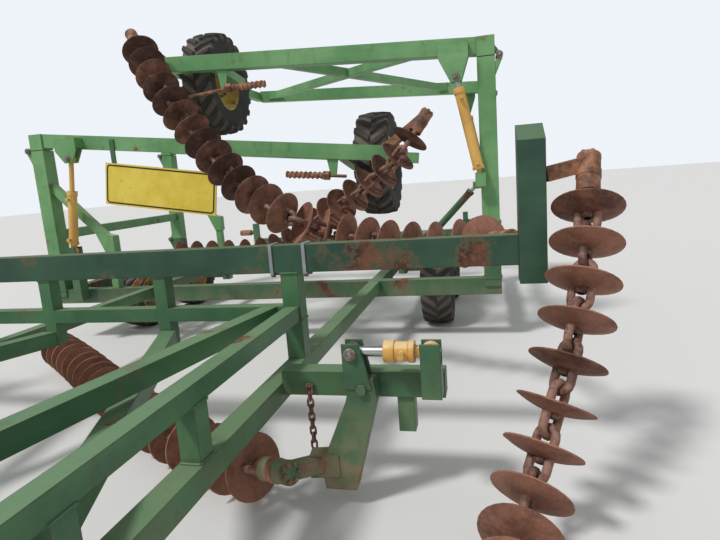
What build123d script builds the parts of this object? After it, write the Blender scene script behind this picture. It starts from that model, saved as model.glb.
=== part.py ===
from build123d import *
import os
from math import atan2, cos, degrees, hypot, pi, radians, sin

os.makedirs("parts", exist_ok=True)

# Disc-chain harrow, parked with both wings folded over the centre frame.
# X runs to the right and Y rearwards, seen by someone who faces the machine from its hitch.
# Z 0 is the ground. A station is a distance in mm behind the tip of the hitch eye.
overall_length = 12700
eye_radius = 62
eye_bore = 26
eye_thick = 40
eye_height = 480

# Drawbar: two legs that spread from the hitch, between two trussed side rails
tongue_width = 120
tongue_height = 100
tongue_end = 700
riser_size = 120
leg_size = 90
leg_start_half = 70
leg_end_half = 1080
chord_half = 1210
upper_chord_size = 80
upper_chord_top = 880
lower_chord_size = 100
frame_top = 580
truss_front = 3650
truss_posts = (3700, 4300, 4960)
truss_post_size = 90
tie_size = 80
inner_post_half = 400
brace_size = 90
brace_height = 700
brace_front_post = 4300

# Front beam, which carries the front chains, and what clamps and ends it
beam_station = 6100
beam_depth = 100
beam_height = 150
beam_top = 1220
beam_half = 2420
beam_post_size = 100
strap_thick = 8
strap_width = 18
strap_offset = 95
fit_gap = 0.3
arm_thick = 130
arm_depth = 150
arm_foot = 980
arm_tip_front = 1670
arm_tip_rear = 1750

# Centre frame
near_station = 8300
far_station = 10700
post_half = 2300
rail_width = 120
rail_height = 150
rear_beam_station = overall_length - rail_width / 2
rear_beam_half = 1900

# Fold posts and wings. Each post pair hinges at its foot and carries a wing at its head.
post_size = 150
foot_hinge_height = 850
right_head_height = 2480
left_head_height = 2080
hinge_offset = 36
hinge_gap = 6
pin_radius = 16
pin_fit = 0.3
knuckle_radius = 30
knuckle_width = 45
knuckle_foot = 150
wing_rail_width = 120
wing_rail_height = 140
block_height = 160
right_tip = -740
right_tip_rise = 185
left_tip = 1395
left_tip_drop = 420
wing_brace_width = 90
wing_brace_depth = 80

# Wheels
tyre_sides = 16
wing_tyre = {"radius": 520, "width": 330, "rim": 270}
frame_tyre = {"radius": 390, "width": 300, "rim": 200}
frame_wheel_half = 1745
frame_wheel_stations = (8900, 10000)
right_wing_wheel = (-509, 8920, 2640)
left_wing_wheel = (1195, 8950, 1680)
hub_radius = 80
axle_radius = 38
axle_fit = 0.4

# Disc chains
disc_radius = 165
disc_hub_radius = 52
disc_dish = 36
disc_sides = 7
link_size = 40
disc_pitch = 188
swivel_radius = 55
swivel_length = 210
swivel_gap = 8

# Rams: the wing rams stand beside the fold posts, the link ram between far rail and far post
ram_offset = 130
wing_ram_foot = (2225, 1480)
wing_ram_head = (2050, 2330)
link_ram_foot = (1500, 700)
link_ram_head = (2140, 1350)
barrel_radius = 45
rod_radius = 24
rod_fit = 0.5
eye_outer = 42
eye_width = 50
cheek_thick = 14
cheek_gap = 6
neck_length = 72


def y_at(station):
    """Y of a station, with Y 0 half-way along the machine."""
    return station - overall_length / 2


def bar(start, end, width, height):
    """A straight box section between two points, its height as near upright as the bar allows."""
    axis = Vector(*end) - Vector(*start)
    upright = Vector(0, 0, 1) if hypot(axis.X, axis.Y) > 1 else Vector(0, 1, 0)
    across = axis.cross(upright)
    with BuildSketch(Plane(origin=start, x_dir=across, z_dir=axis)) as section:
        Rectangle(width, height)
    extrude(section.sketch, amount=axis.length)


def rod(start, end, radius):
    """A straight round bar between two points."""
    axis = Vector(*end) - Vector(*start)
    with BuildSketch(Plane(origin=start, z_dir=axis)) as section:
        Circle(radius)
    extrude(section.sketch, amount=axis.length)


def plate(plane, points, thick):
    """A flat plate: an outline on a plane, given its thickness half to each side."""
    with BuildSketch(plane) as outline:
        with BuildLine():
            Polyline(*points, close=True)
        make_face()
    extrude(outline.sketch, amount=thick / 2, both=True)


def block(x_range, station_range, z_range, mode=Mode.ADD):
    """A box between given faces."""
    with Locations((sum(x_range) / 2, y_at(sum(station_range) / 2), sum(z_range) / 2)):
        Box(x_range[1] - x_range[0], station_range[1] - station_range[0], z_range[1] - z_range[0], mode=mode)


def finish(part, name):
    """Names a piece and writes it."""
    part.label = name
    export_step(part, f"parts/{name}.step")


# Hitch: eye, tongue, riser up to the legs, and the parking jack's sleeve and crank
leg_height = upper_chord_top - leg_size / 2
jack_half = 150
jack_station = 520
jack_sleeve_size = 90
jack_sleeve_foot = 300
jack_sleeve_top = 960
with BuildPart() as hitch:
    with BuildSketch(Plane.XY.offset(eye_height - eye_thick / 2)):
        with Locations((0, y_at(eye_radius))):
            Circle(eye_radius)
        with Locations((0, y_at(2.5 * eye_radius))):
            Rectangle(1.5 * eye_radius, 3 * eye_radius)
        with Locations((0, y_at(eye_radius))):
            Circle(eye_bore, mode=Mode.SUBTRACT)
    extrude(amount=eye_thick)
    bar((0, y_at(3 * eye_radius), eye_height), (0, y_at(tongue_end), eye_height),
        tongue_width, tongue_height)
    bar((0, y_at(tongue_end + riser_size / 2), eye_height - tongue_height / 2),
        (0, y_at(tongue_end + riser_size / 2), upper_chord_top), riser_size, riser_size)
    bar((jack_half, y_at(jack_station), eye_height), (0, y_at(jack_station), eye_height),
        jack_sleeve_size, tongue_height - 20)
    bar((jack_half, y_at(jack_station), jack_sleeve_foot), (jack_half, y_at(jack_station), jack_sleeve_top),
        jack_sleeve_size, jack_sleeve_size)
    jack_leg_size = 70
    jack_leg_top = 620
    jack_clear = 0.5
    with BuildSketch(Plane.XY.offset(jack_sleeve_foot)):
        with Locations((jack_half, y_at(jack_station))):
            Rectangle(jack_leg_size + 2 * jack_clear, jack_leg_size + 2 * jack_clear)
    extrude(amount=jack_sleeve_top - 20 - jack_sleeve_foot, mode=Mode.SUBTRACT)
    crank_height = jack_sleeve_top + 46
    rod((jack_half, y_at(jack_station), jack_sleeve_top - 5), (jack_half, y_at(jack_station),
        crank_height + 14), 14)
    rod((jack_half, y_at(jack_station), crank_height), (jack_half + 180, y_at(jack_station), crank_height), 10)
finish(hitch.part, "hitch")

# Jack leg with its foot plate
jack_foot_size = 260
jack_foot_thick = 14
with BuildPart() as jack_leg:
    with BuildSketch():
        with Locations((jack_half, y_at(jack_station))):
            Rectangle(jack_foot_size, jack_foot_size)
    extrude(amount=jack_foot_thick)
    bar((jack_half, y_at(jack_station), jack_foot_thick / 2),
        (jack_half, y_at(jack_station), jack_leg_top), jack_leg_size, jack_leg_size)
finish(jack_leg.part, "jack_leg")

# Trussed side rails, right and left
lower_chord_height = frame_top - lower_chord_size / 2
upper_chord_height = upper_chord_top - upper_chord_size / 2
beam_bottom = beam_top - beam_height
cross_front = near_station - rail_width / 2
for side, name in ((1, "right"), (-1, "left")):
    with BuildPart() as truss:
        x = side * chord_half
        bar((x, y_at(truss_front), lower_chord_height), (x, y_at(cross_front), lower_chord_height),
            lower_chord_size, lower_chord_size)
        bar((x, y_at(truss_front), upper_chord_height), (x, y_at(beam_station), upper_chord_height),
            upper_chord_size, upper_chord_size)
        for station in truss_posts:
            bar((x, y_at(station), lower_chord_height), (x, y_at(station), upper_chord_height),
                upper_chord_size, truss_post_size)
        bar((x, y_at(beam_station), lower_chord_height), (x, y_at(beam_station), beam_bottom),
            beam_post_size, beam_post_size)
    finish(truss.part, f"side_truss_{name}")

# Ties between the trusses; the rear one has the two inner beam posts
tie_half = chord_half - upper_chord_size / 2
rear_tie_half = chord_half - beam_post_size / 2
with BuildPart() as cross_ties:
    bar((-tie_half, y_at(truss_posts[0]), upper_chord_height), (tie_half, y_at(truss_posts[0]),
        upper_chord_height), tie_size, tie_size)
    bar((-rear_tie_half, y_at(beam_station), upper_chord_height), (rear_tie_half, y_at(beam_station),
        upper_chord_height), tie_size, tie_size)
    for side in (-1, 1):
        x = side * inner_post_half
        bar((x, y_at(beam_station), brace_height - brace_size / 2), (x, y_at(beam_station), beam_bottom),
            tie_size, tie_size)
finish(cross_ties.part, "cross_ties")

# Drawbar legs, cut where they meet the riser and the ties
with BuildPart() as drawbar_legs:
    for side in (-1, 1):
        bar((side * leg_start_half, y_at(tongue_end + riser_size / 2), leg_height),
            (side * leg_end_half, y_at(beam_station), leg_height), leg_size, leg_size)
    add(hitch.part, mode=Mode.SUBTRACT)
    add(cross_ties.part, mode=Mode.SUBTRACT)
    tie_rear_face = beam_station - tie_size / 2
    with BuildSketch(Plane.XY.offset(leg_height)):
        with Locations((0, y_at(tie_rear_face + 200))):
            Rectangle(2 * chord_half, 400)
    extrude(amount=leg_size, both=True, mode=Mode.SUBTRACT)
finish(drawbar_legs.part, "drawbar_legs")

# Diagonal braces under the legs, from a truss post to an inner beam post
brace_outer = chord_half - upper_chord_size / 2
brace_end_y = beam_station - tie_size / 2
with BuildPart() as drawbar_braces:
    for side in (-1, 1):
        bar((side * chord_half, y_at(brace_front_post - 100), brace_height),
            (side * inner_post_half, y_at(beam_station), brace_height), brace_size, brace_size)
    for side in (-1, 1):
        with BuildSketch(Plane.XY.offset(brace_height)):
            with Locations((side * (brace_outer + 100), y_at(brace_front_post))):
                Rectangle(200, 800)
        extrude(amount=brace_size, both=True, mode=Mode.SUBTRACT)
    with BuildSketch(Plane.XY.offset(brace_height)):
        with Locations((0, y_at(brace_end_y + 200))):
            Rectangle(2 * chord_half, 400)
    extrude(amount=brace_size, both=True, mode=Mode.SUBTRACT)
finish(drawbar_braces.part, "drawbar_braces")

# Front beam on the four posts, its straps and its upright end arms
beam_middle = beam_top - beam_height / 2
with BuildPart() as front_beam:
    bar((-beam_half, y_at(beam_station), beam_middle), (beam_half, y_at(beam_station), beam_middle),
        beam_depth, beam_height)
finish(front_beam.part, "front_beam")
with BuildPart() as beam_straps:
    for side in (-1, 1):
        for offset_x in (-strap_offset, strap_offset):
            with BuildSketch(Plane.YZ.offset(side * chord_half + offset_x)):
                with Locations((y_at(beam_station), beam_middle)):
                    Rectangle(beam_depth + 2 * (fit_gap + strap_thick), beam_height + 2 * (fit_gap + strap_thick))
                    Rectangle(beam_depth + 2 * fit_gap, beam_height + 2 * fit_gap, mode=Mode.SUBTRACT)
            extrude(amount=strap_width / 2, both=True)
finish(beam_straps.part, "beam_straps")
arm_outline = (
    (y_at(beam_station - arm_depth / 2), arm_foot),
    (y_at(beam_station + arm_depth / 2), arm_foot),
    (y_at(beam_station + arm_depth / 2), arm_tip_rear),
    (y_at(beam_station - arm_depth / 2), arm_tip_front),
)
with BuildPart() as end_arms:
    for side in (-1, 1):
        plate(Plane.YZ.offset(side * (beam_half + arm_thick / 2)), arm_outline, arm_thick)
finish(end_arms.part, "end_arms")


def smooth_route(points):
    """Points every 1/24 of each span along a Catmull-Rom curve through the given ones."""
    padded = [points[0], *points, points[-1]]
    route = []
    for before, first, second, after in zip(padded, padded[1:], padded[2:], padded[3:]):
        for step in range(24):
            t = step / 24
            route.append(tuple(
                0.5 * (2 * b + (c - a) * t + (2 * a - 5 * b + 4 * c - d) * t**2
                       + (3 * b - a - 3 * c + d) * t**3)
                for a, b, c, d in zip(before, first, second, after)))
    route.append(points[-1])
    return [Vector(*point) for point in route]


def stations_along(route, pitch, lead):
    """Points a pitch apart along a route, the first one a lead from its start."""
    marks = []
    walked = 0
    wanted = lead
    for first, second in zip(route, route[1:]):
        span = (second - first).length
        while wanted <= walked + span:
            marks.append(first + (second - first) * ((wanted - walked) / span))
            wanted += pitch
        walked += span
    return marks


def link_core(joints):
    """The links of a chain as one square bar along its joints, mitred at each of them."""
    spans = [(second - first).normalized() for first, second in zip(joints, joints[1:])]
    side = spans[0].cross(Vector(0, 0.2, 1)).normalized() * (link_size / 2)
    up = spans[0].cross(side)
    ring = [joints[0] + side * across + up * rise for across, rise in ((-1, -1), (1, -1), (1, 1), (-1, 1))]
    faces = [Face(Wire.make_polygon(ring))]
    for axis, following, end in zip(spans, [*spans[1:], spans[-1]], joints[1:]):
        mitre = axis + following
        moved = [corner + axis * ((end - corner).dot(mitre) / axis.dot(mitre)) for corner in ring]
        for k in range(4):
            faces.append(Face(Wire.make_polygon([ring[k], ring[k - 3], moved[k - 3], moved[k]])))
        ring = moved
    faces.append(Face(Wire.make_polygon(ring)))
    return Solid(Shell(faces))


def chain_gang(points):
    """Discs a pitch apart on a chain of links, which runs along a route through the points."""
    route = smooth_route([(x, y_at(station), z) for x, station, z in points])
    joints = stations_along(route, disc_pitch, 0)
    # each side of the polygon moves in by the taper, from the rim to the hub
    taper = degrees(atan2((disc_radius - disc_hub_radius) * cos(pi / disc_sides), disc_dish))
    for first, second in zip(joints, joints[1:]):
        axis = (second - first).normalized()
        middle = (first + second) * 0.5
        side = axis.cross(Vector(0, 0.2, 1)).normalized()
        with BuildSketch(Plane(origin=middle - axis * (disc_dish / 2), x_dir=side, z_dir=axis)) as rim:
            RegularPolygon(disc_radius, disc_sides, rotation=180 / disc_sides)
        extrude(rim.sketch, amount=disc_dish, taper=taper)
    add(link_core(joints))


def swivel(route_points, arm_to, arm_size, gap=fit_gap):
    """A swivel housing before the first point of a route, with a square arm back to arm_to."""
    route = smooth_route([(x, y_at(station), z) for x, station, z in route_points])
    first, second = stations_along(route, disc_pitch, 0)[:2]
    axis = (first - second).normalized()
    near = first + axis * gap
    rod(tuple(near), tuple(near + axis * swivel_length), swivel_radius)
    middle = near + axis * (swivel_length * 0.8)
    bar(tuple(middle), (arm_to[0], y_at(arm_to[1]), arm_to[2]), arm_size, arm_size)


def end_swivel(route_points, arm_to, arm_size):
    """A swivel housing behind the last link of a route, with a square arm back to arm_to."""
    route = smooth_route([(x, y_at(station), z) for x, station, z in route_points])
    before, last = stations_along(route, disc_pitch, 0)[-2:]
    axis = (last - before).normalized()
    near = last + axis * fit_gap
    rod(tuple(near), tuple(near + axis * swivel_length), swivel_radius)
    bar(tuple(near + axis * (swivel_length * 0.8)), (arm_to[0], y_at(arm_to[1]), arm_to[2]), arm_size, arm_size)


# Chain routes: x, station and height of points along each chain's middle line
rest_height = 172
landing_height = 184
front_chain_route = (
    (2740, 6070, 1400), (2690, 5860, 1080), (2590, 5640, 740), (2420, 5370, 320), (2330, 5060, landing_height),
    (2240, 4560, rest_height),
)
front_chain_mirrored = tuple((-x, station, z) for x, station, z in front_chain_route)
upper_chain_route = (
    (-870, 8105, 2914), (-453, 7790, 2396), (-58, 7602, 1948), (171, 7461, 1737), (389, 7358, 1540),
    (612, 7234, 1413), (786, 7130, 1337), (893, 7095, 1278), (973, 7178, 1223), (1127, 7262, 1158),
    (1259, 7258, 1129), (1573, 7117, 1079), (1912, 6987, 1058), (2239, 6864, 1093), (2330, 6600, 1130),
)
left_tip_chain_route = (
    (1690, 8050, 1900), (1628, 7990, 1808), (1539, 8008, 1694), (1418, 8056, 1597), (1282, 8104, 1528),
    (1142, 8156, 1416), (979, 8216, 1332), (800, 8330, 1240), (560, 8430, 1110), (310, 8470, 950),
    (0, 8500, 860), (-600, 8520, 850), (-1130, 8520, 870),
)
ground_chain_route = (
    (1200, 5500, 230), (850, 5690, rest_height), (0, 6200, rest_height), (-1130, 7050, rest_height),
    (-1850, 7560, rest_height),
)
chains = (
    ("front_chain_right", front_chain_route),
    ("front_chain_left", front_chain_mirrored),
    ("right_wing_chain", upper_chain_route),
    ("left_wing_chain", left_tip_chain_route),
    ("ground_chain", ground_chain_route),
)
for name, route_points in chains:
    with BuildPart() as gang:
        chain_gang(route_points)
    finish(gang.part, name)

# Swivels of the front chains, on short arms outside the end arms
with BuildPart() as front_swivels:
    for side, route_points in ((1, front_chain_route), (-1, front_chain_mirrored)):
        swivel(route_points, (side * (beam_half + arm_thick), beam_station, 1500), 70)
    add(end_arms.part, mode=Mode.SUBTRACT)
finish(front_swivels.part, "front_swivels")

# Centre frame: cross rails, long rails, side rails and hinge pedestals
rail_middle = frame_top - rail_height / 2
pedestal_top = foot_hinge_height - hinge_gap / 2
hinge_half = post_half + post_size / 2 + hinge_offset
rear_front_face = rear_beam_station - rail_width / 2


def knuckle(x, station, height, reach, inward):
    """A hinge ear: a round eye about a pin along Y, with a foot on the post face beside it.

    reach is the height of the foot's far edge from the pin; inward is the sign of X towards the post.
    """
    face_x = x + inward * hinge_offset
    with BuildSketch(Plane.XZ.offset(-y_at(station))) as ear:
        with Locations((x, height)):
            Circle(knuckle_radius)
        with BuildLine():
            Polyline(
                (x, height),
                (x - inward * knuckle_radius, height),
                (face_x, height + reach),
                (face_x, height + reach / 3),
                close=True,
            )
        make_face()
    extrude(ear.sketch, amount=knuckle_width / 2, both=True)


def slot_width():
    """Room between the cheeks that hold a ram's eye."""
    return eye_width + 2 * cheek_gap


def foot_cheeks(pin, station, depth_range, base_z):
    """Cheeks on a block round a ram's foot eye, with the pin through them."""
    half = slot_width() / 2
    block((pin[0] - 45, pin[0] + 45), depth_range, (base_z, pin[1] + 42))
    block((pin[0] - 60, pin[0] + 60), (station - half, station + half), (pin[1] - 55, pin[1] + 80), Mode.SUBTRACT)
    rod((pin[0], y_at(depth_range[0]), pin[1]), (pin[0], y_at(depth_range[1]), pin[1]), pin_radius)


def ram_barrel(foot, head, station, gap_at_head=95):
    """Barrel of a ram in the plane of a station, with its foot eye."""
    start, end = Vector(foot[0], y_at(station), foot[1]), Vector(head[0], y_at(station), head[1])
    axis = (end - start).normalized()
    length = (end - start).length - gap_at_head
    rod(tuple(start + axis * neck_length), tuple(start + axis * length), barrel_radius)
    bar(tuple(start), tuple(start + axis * (neck_length + 5)), eye_width, eye_outer)
    rod((foot[0], y_at(station - eye_width / 2), foot[1]), (foot[0], y_at(station + eye_width / 2), foot[1]), eye_outer)
    with BuildSketch(Plane(origin=start + axis * 90, z_dir=axis)) as bore:
        Circle(rod_radius + rod_fit)
    extrude(bore.sketch, amount=length, mode=Mode.SUBTRACT)
    with BuildSketch(Plane(origin=start - Vector(0, eye_width, 0), z_dir=(0, 1, 0))) as bore:
        Circle(pin_radius + pin_fit)
    extrude(bore.sketch, amount=2 * eye_width, mode=Mode.SUBTRACT)


def ram_rod(foot, head, station, inner_end):
    """Rod of a ram, from inside its barrel to its head eye."""
    start, end = Vector(foot[0], y_at(station), foot[1]), Vector(head[0], y_at(station), head[1])
    axis = (end - start).normalized()
    rod(tuple(start + axis * inner_end), tuple(end - axis * 25), rod_radius)
    rod((head[0], y_at(station - eye_width / 2), head[1]), (head[0], y_at(station + eye_width / 2), head[1]), eye_outer)
    with BuildSketch(Plane(origin=end - Vector(0, eye_width, 0), z_dir=(0, 1, 0))) as bore:
        Circle(pin_radius + pin_fit)
    extrude(bore.sketch, amount=2 * eye_width, mode=Mode.SUBTRACT)


def hinge_bore(x, station, height):
    """Bore for a hinge pin, right through a post foot's or wing root's ear."""
    with BuildSketch(Plane.XZ.offset(-y_at(station) - post_size)) as bore:
        with Locations((x, height)):
            Circle(pin_radius + pin_fit)
    extrude(bore.sketch, amount=2 * post_size, mode=Mode.SUBTRACT)


near_ram_station = near_station - ram_offset
far_ram_station = far_station + ram_offset
link_ram_station = far_station - ram_offset
cheek_half = slot_width() / 2 + cheek_thick
with BuildPart() as centre_frame:
    for station in (near_station, far_station):
        bar((-hinge_half + hinge_offset, y_at(station), rail_middle),
            (hinge_half - hinge_offset, y_at(station), rail_middle), rail_width, rail_height)
    for side in (-1, 1):
        bar((side * chord_half, y_at(near_station), lower_chord_height),
            (side * chord_half, y_at(rear_front_face), lower_chord_height), lower_chord_size, lower_chord_size)
        bar((side * post_half, y_at(near_station), rail_middle),
            (side * post_half, y_at(far_station), rail_middle), rail_width, rail_height)
        for station in (near_station, far_station):
            bar((side * post_half, y_at(station), rail_middle),
                (side * post_half, y_at(station), pedestal_top), post_size, post_size)
            for offset_y in (-1, 1):
                knuckle(side * hinge_half, station + offset_y * (knuckle_width + 5), foot_hinge_height,
                        -knuckle_foot, -side)
            rod((side * hinge_half, y_at(station - post_size / 2), foot_hinge_height),
                (side * hinge_half, y_at(station + post_size / 2), foot_hinge_height), pin_radius)
    foot_cheeks(link_ram_foot, link_ram_station, (link_ram_station - cheek_half, far_station - rail_width / 2),
                frame_top - 80)
finish(centre_frame.part, "centre_frame")

# Rear beam with the sockets of the rear chains' swivels
with BuildPart() as rear_beam:
    bar((-rear_beam_half, y_at(rear_beam_station), rail_middle),
        (rear_beam_half, y_at(rear_beam_station), rail_middle), rail_width, rail_height)
    for side in (-1, 1):
        block((side * rear_beam_half - 40, side * rear_beam_half + 40),
              (rear_beam_station - rail_width / 2, rear_beam_station + rail_width / 2), (frame_top - 300, 860))
finish(rear_beam.part, "rear_beam")
with BuildPart() as rear_swivels:
    for side in (-1, 1):
        face = side * (rear_beam_half + 40)
        rod((face, y_at(rear_beam_station), 700), (face + side * 60, y_at(rear_beam_station), 700), 35)
        rod((face + side * 60, y_at(rear_beam_station), 700),
            (face + side * (60 + swivel_length), y_at(rear_beam_station), 700), swivel_radius - 4)
finish(rear_swivels.part, "rear_swivels")

# Wheel arms of the centre frame, each with its axle
frame_wheel_height = frame_tyre["radius"]
with BuildPart() as wheel_arms:
    for side in (-1, 1):
        for station in frame_wheel_stations:
            bar((side * chord_half, y_at(station), frame_top - lower_chord_size),
                (side * chord_half, y_at(station), frame_wheel_height - 60), lower_chord_size, lower_chord_size)
            rod((side * chord_half, y_at(station), frame_wheel_height),
                (side * (frame_wheel_half + hub_radius + 20), y_at(station), frame_wheel_height), axle_radius)
finish(wheel_arms.part, "wheel_arms")


def wheel(name, centre, sizes):
    """A tyre and its rim, turned about an axis along X."""
    x, station, z = centre
    outer, half, rim = sizes["radius"], sizes["width"] / 2, sizes["rim"]
    profile_plane = Plane(origin=(x, y_at(station), z), x_dir=(1, 0, 0), z_dir=(0, -1, 0))
    axis = Axis((x, y_at(station), z), (1, 0, 0))
    # the tyre in flat bands: tread, shoulder and sidewall, each from a distance out to the next
    tread, shoulder, wall = (half * 0.3, outer), (half * 0.82, outer * 0.965), (half, rim + (outer - rim) * 0.55)
    with BuildPart() as tyre:
        for side in (-1, 1):
            for (inside, high), (outside, low) in (((0, outer), tread), (tread, shoulder), (shoulder, wall)):
                with BuildSketch(Plane(origin=(x + side * inside, y_at(station), z), x_dir=(0, 1, 0),
                                       z_dir=(side, 0, 0))) as band:
                    RegularPolygon(high, tyre_sides, major_radius=False, rotation=90 - 180 / tyre_sides)
                extrude(band.sketch, amount=outside - inside,
                        taper=degrees(atan2(high - low, outside - inside)))
        with BuildSketch(Plane(origin=(x, y_at(station), z), x_dir=(0, 1, 0), z_dir=(1, 0, 0))) as bore:
            RegularPolygon(rim, tyre_sides, major_radius=False, rotation=90 - 180 / tyre_sides)
        extrude(bore.sketch, amount=half, both=True, mode=Mode.SUBTRACT)
    finish(tyre.part, f"{name}_tyre")
    with BuildPart() as wheel_rim:
        with BuildSketch(profile_plane) as profile:
            with BuildLine():
                Polyline(
                    (-half * 0.72, rim - fit_gap), (half * 0.72, rim - fit_gap), (half * 0.72, rim - 22),
                    (half * 0.15, rim - 60), (half * 0.15, hub_radius), (half * 0.6, hub_radius),
                    (half * 0.6, axle_radius + axle_fit), (-half * 0.6, axle_radius + axle_fit),
                    (-half * 0.6, hub_radius), (-half * 0.05, hub_radius), (-half * 0.05, rim - 60),
                    (-half * 0.72, rim - 22), close=True)
            make_face()
        revolve(profile.sketch, axis=axis)
    finish(wheel_rim.part, f"{name}_rim")


for side, side_name in ((1, "right"), (-1, "left")):
    for station, place in zip(frame_wheel_stations, ("front", "rear")):
        wheel(f"{place}_{side_name}", (side * frame_wheel_half, station, frame_wheel_height), frame_tyre)
wheel("right_wing", right_wing_wheel, wing_tyre)
wheel("left_wing", left_wing_wheel, wing_tyre)

# Right fold posts with their tie and the cheeks of the rams
post_tie_height = 1180
post_foot = foot_hinge_height + hinge_gap / 2


def fold_post(side, station, head_height):
    """One fold post: its foot ear, and the head ears with their pin."""
    bar((side * post_half, y_at(station), post_foot),
        (side * post_half, y_at(station), head_height - hinge_gap / 2), post_size, post_size)
    knuckle(side * hinge_half, station, foot_hinge_height, knuckle_foot, -side)
    for offset_y in (-1, 1):
        knuckle(side * hinge_half, station + offset_y * (knuckle_width + 5), head_height, -knuckle_foot, -side)
    hinge_bore(side * hinge_half, station, foot_hinge_height)
    rod((side * hinge_half, y_at(station - post_size / 2), head_height),
        (side * hinge_half, y_at(station + post_size / 2), head_height), pin_radius)


with BuildPart() as right_posts:
    for station in (near_station, far_station):
        fold_post(1, station, right_head_height)
    bar((post_half, y_at(near_station), post_tie_height), (post_half, y_at(far_station), post_tie_height), 100, 100)
    foot_cheeks(wing_ram_foot, near_ram_station, (near_ram_station - cheek_half, near_station - post_size / 2),
                wing_ram_foot[1] - 80)
    foot_cheeks(wing_ram_foot, far_ram_station, (far_station + post_size / 2, far_ram_station + cheek_half),
                wing_ram_foot[1] - 80)
    # head cheeks of the link ram, on a block on the far post's front face
    face = far_station - post_size / 2
    lug_x, lug_z = link_ram_head
    block((post_half - post_size / 2, post_half - 10), (link_ram_station - cheek_half, face),
          (lug_z - 60, lug_z + 60))
    for edge in (-1, 1):
        middle = link_ram_station + edge * (cheek_half - cheek_thick / 2)
        block((lug_x - 45, post_half - 10), (middle - cheek_thick / 2, middle + cheek_thick / 2),
              (lug_z - 45, lug_z + 45))
finish(right_posts.part, "right_posts")


def wing_frame(side, head_height, tip, rise, end_x):
    """A wing's two rails with their root blocks, cross member at end_x and X brace."""
    root_x = side * (post_half - post_size / 2)
    root_z = head_height + hinge_gap / 2 + block_height - wing_rail_height / 2
    tip_z = root_z + rise

    def height(x):
        return root_z + rise * (x - root_x) / (tip - root_x)

    for station in (near_station, far_station):
        block((side * post_half - post_size / 2, side * post_half + post_size / 2),
              (station - post_size / 2, station + post_size / 2),
              (head_height + hinge_gap / 2, head_height + hinge_gap / 2 + block_height))
        bar((root_x + side * 10, y_at(station), root_z), (tip, y_at(station), tip_z),
            wing_rail_width, wing_rail_height)
        knuckle(side * hinge_half, station, head_height, 3 * knuckle_foot / 5, -side)
        hinge_bore(side * hinge_half, station, head_height)
    bar((end_x, y_at(near_station - 60), height(end_x)), (end_x, y_at(far_station + 60), height(end_x)), 92, 100)
    inner_x, outer_x, near_outer_x = root_x - side * 420, tip + side * 130, tip + side * 1040
    bar((near_outer_x, y_at(near_station), height(near_outer_x)), (inner_x, y_at(far_station), height(inner_x)),
        wing_brace_width, wing_brace_depth)
    bar((outer_x, y_at(far_station), height(outer_x)), (inner_x, y_at(near_station), height(inner_x)),
        wing_brace_width, wing_brace_depth)
    return height


def ram_gusset(side, pin, station, face, rail_bottom):
    """Two hanging cheeks for a rod eye, on a block against a wing rail's face."""
    x, z = pin
    edge = (station - cheek_half, station + cheek_half)
    low, high = (edge[0], face) if face > station else (face, edge[1])
    block((x - 140, x + 110), (low, high), (rail_bottom, rail_bottom + 100))
    for offset_y in (-1, 1):
        middle = station + offset_y * (cheek_half - cheek_thick / 2)
        plate(Plane.XZ.offset(-y_at(middle)), (
            (x - 140, rail_bottom + 50), (x + 110, rail_bottom + 50), (x + 110, rail_bottom - 20),
            (x + 45, z - 45), (x - 45, z - 45), (x - 140, rail_bottom - 20)), cheek_thick)


def wheel_arm(height, wheel_centre, side, arm_x):
    """Arm from a wing's near rail back to a wheel's axle."""
    x, station, z = wheel_centre
    bar((arm_x, y_at(near_station), height(arm_x)), (arm_x, y_at(station + 60), z), 90, 90)
    rod((arm_x, y_at(station), z), (x - side * (hub_radius + 40), y_at(station), z), axle_radius)


with BuildPart() as right_wing_frame:
    right_height = wing_frame(1, right_head_height, right_tip, right_tip_rise, right_tip - 45)
    rail_low = right_head_height + 20
    ram_gusset(1, wing_ram_head, near_ram_station, near_station - rail_width / 2, rail_low)
    ram_gusset(1, wing_ram_head, far_ram_station, far_station + rail_width / 2, rail_low)
    wheel_arm(right_height, right_wing_wheel, 1, right_wing_wheel[0] + wing_tyre["width"] / 2 + 90)
finish(right_wing_frame.part, "right_wing_frame")
with BuildPart() as right_wing_swivel:
    swivel(upper_chain_route, (right_tip - 45, near_station + 300, right_height(right_tip - 45)), 70,
           gap=swivel_gap)
    add(right_wing_frame.part, mode=Mode.SUBTRACT)
finish(right_wing_swivel.part, "right_wing_swivel")

# Rams of the right side
with BuildPart() as wing_ram_barrels:
    for station in (near_ram_station, far_ram_station):
        ram_barrel(wing_ram_foot, wing_ram_head, station)
finish(wing_ram_barrels.part, "wing_ram_barrels")
with BuildPart() as wing_ram_rods:
    for station in (near_ram_station, far_ram_station):
        ram_rod(wing_ram_foot, wing_ram_head, station, 150)
finish(wing_ram_rods.part, "wing_ram_rods")
with BuildPart() as link_ram_barrel:
    ram_barrel(link_ram_foot, link_ram_head, link_ram_station)
finish(link_ram_barrel.part, "link_ram_barrel")
with BuildPart() as link_ram_rod:
    ram_rod(link_ram_foot, link_ram_head, link_ram_station, 120)
finish(link_ram_rod.part, "link_ram_rod")

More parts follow.
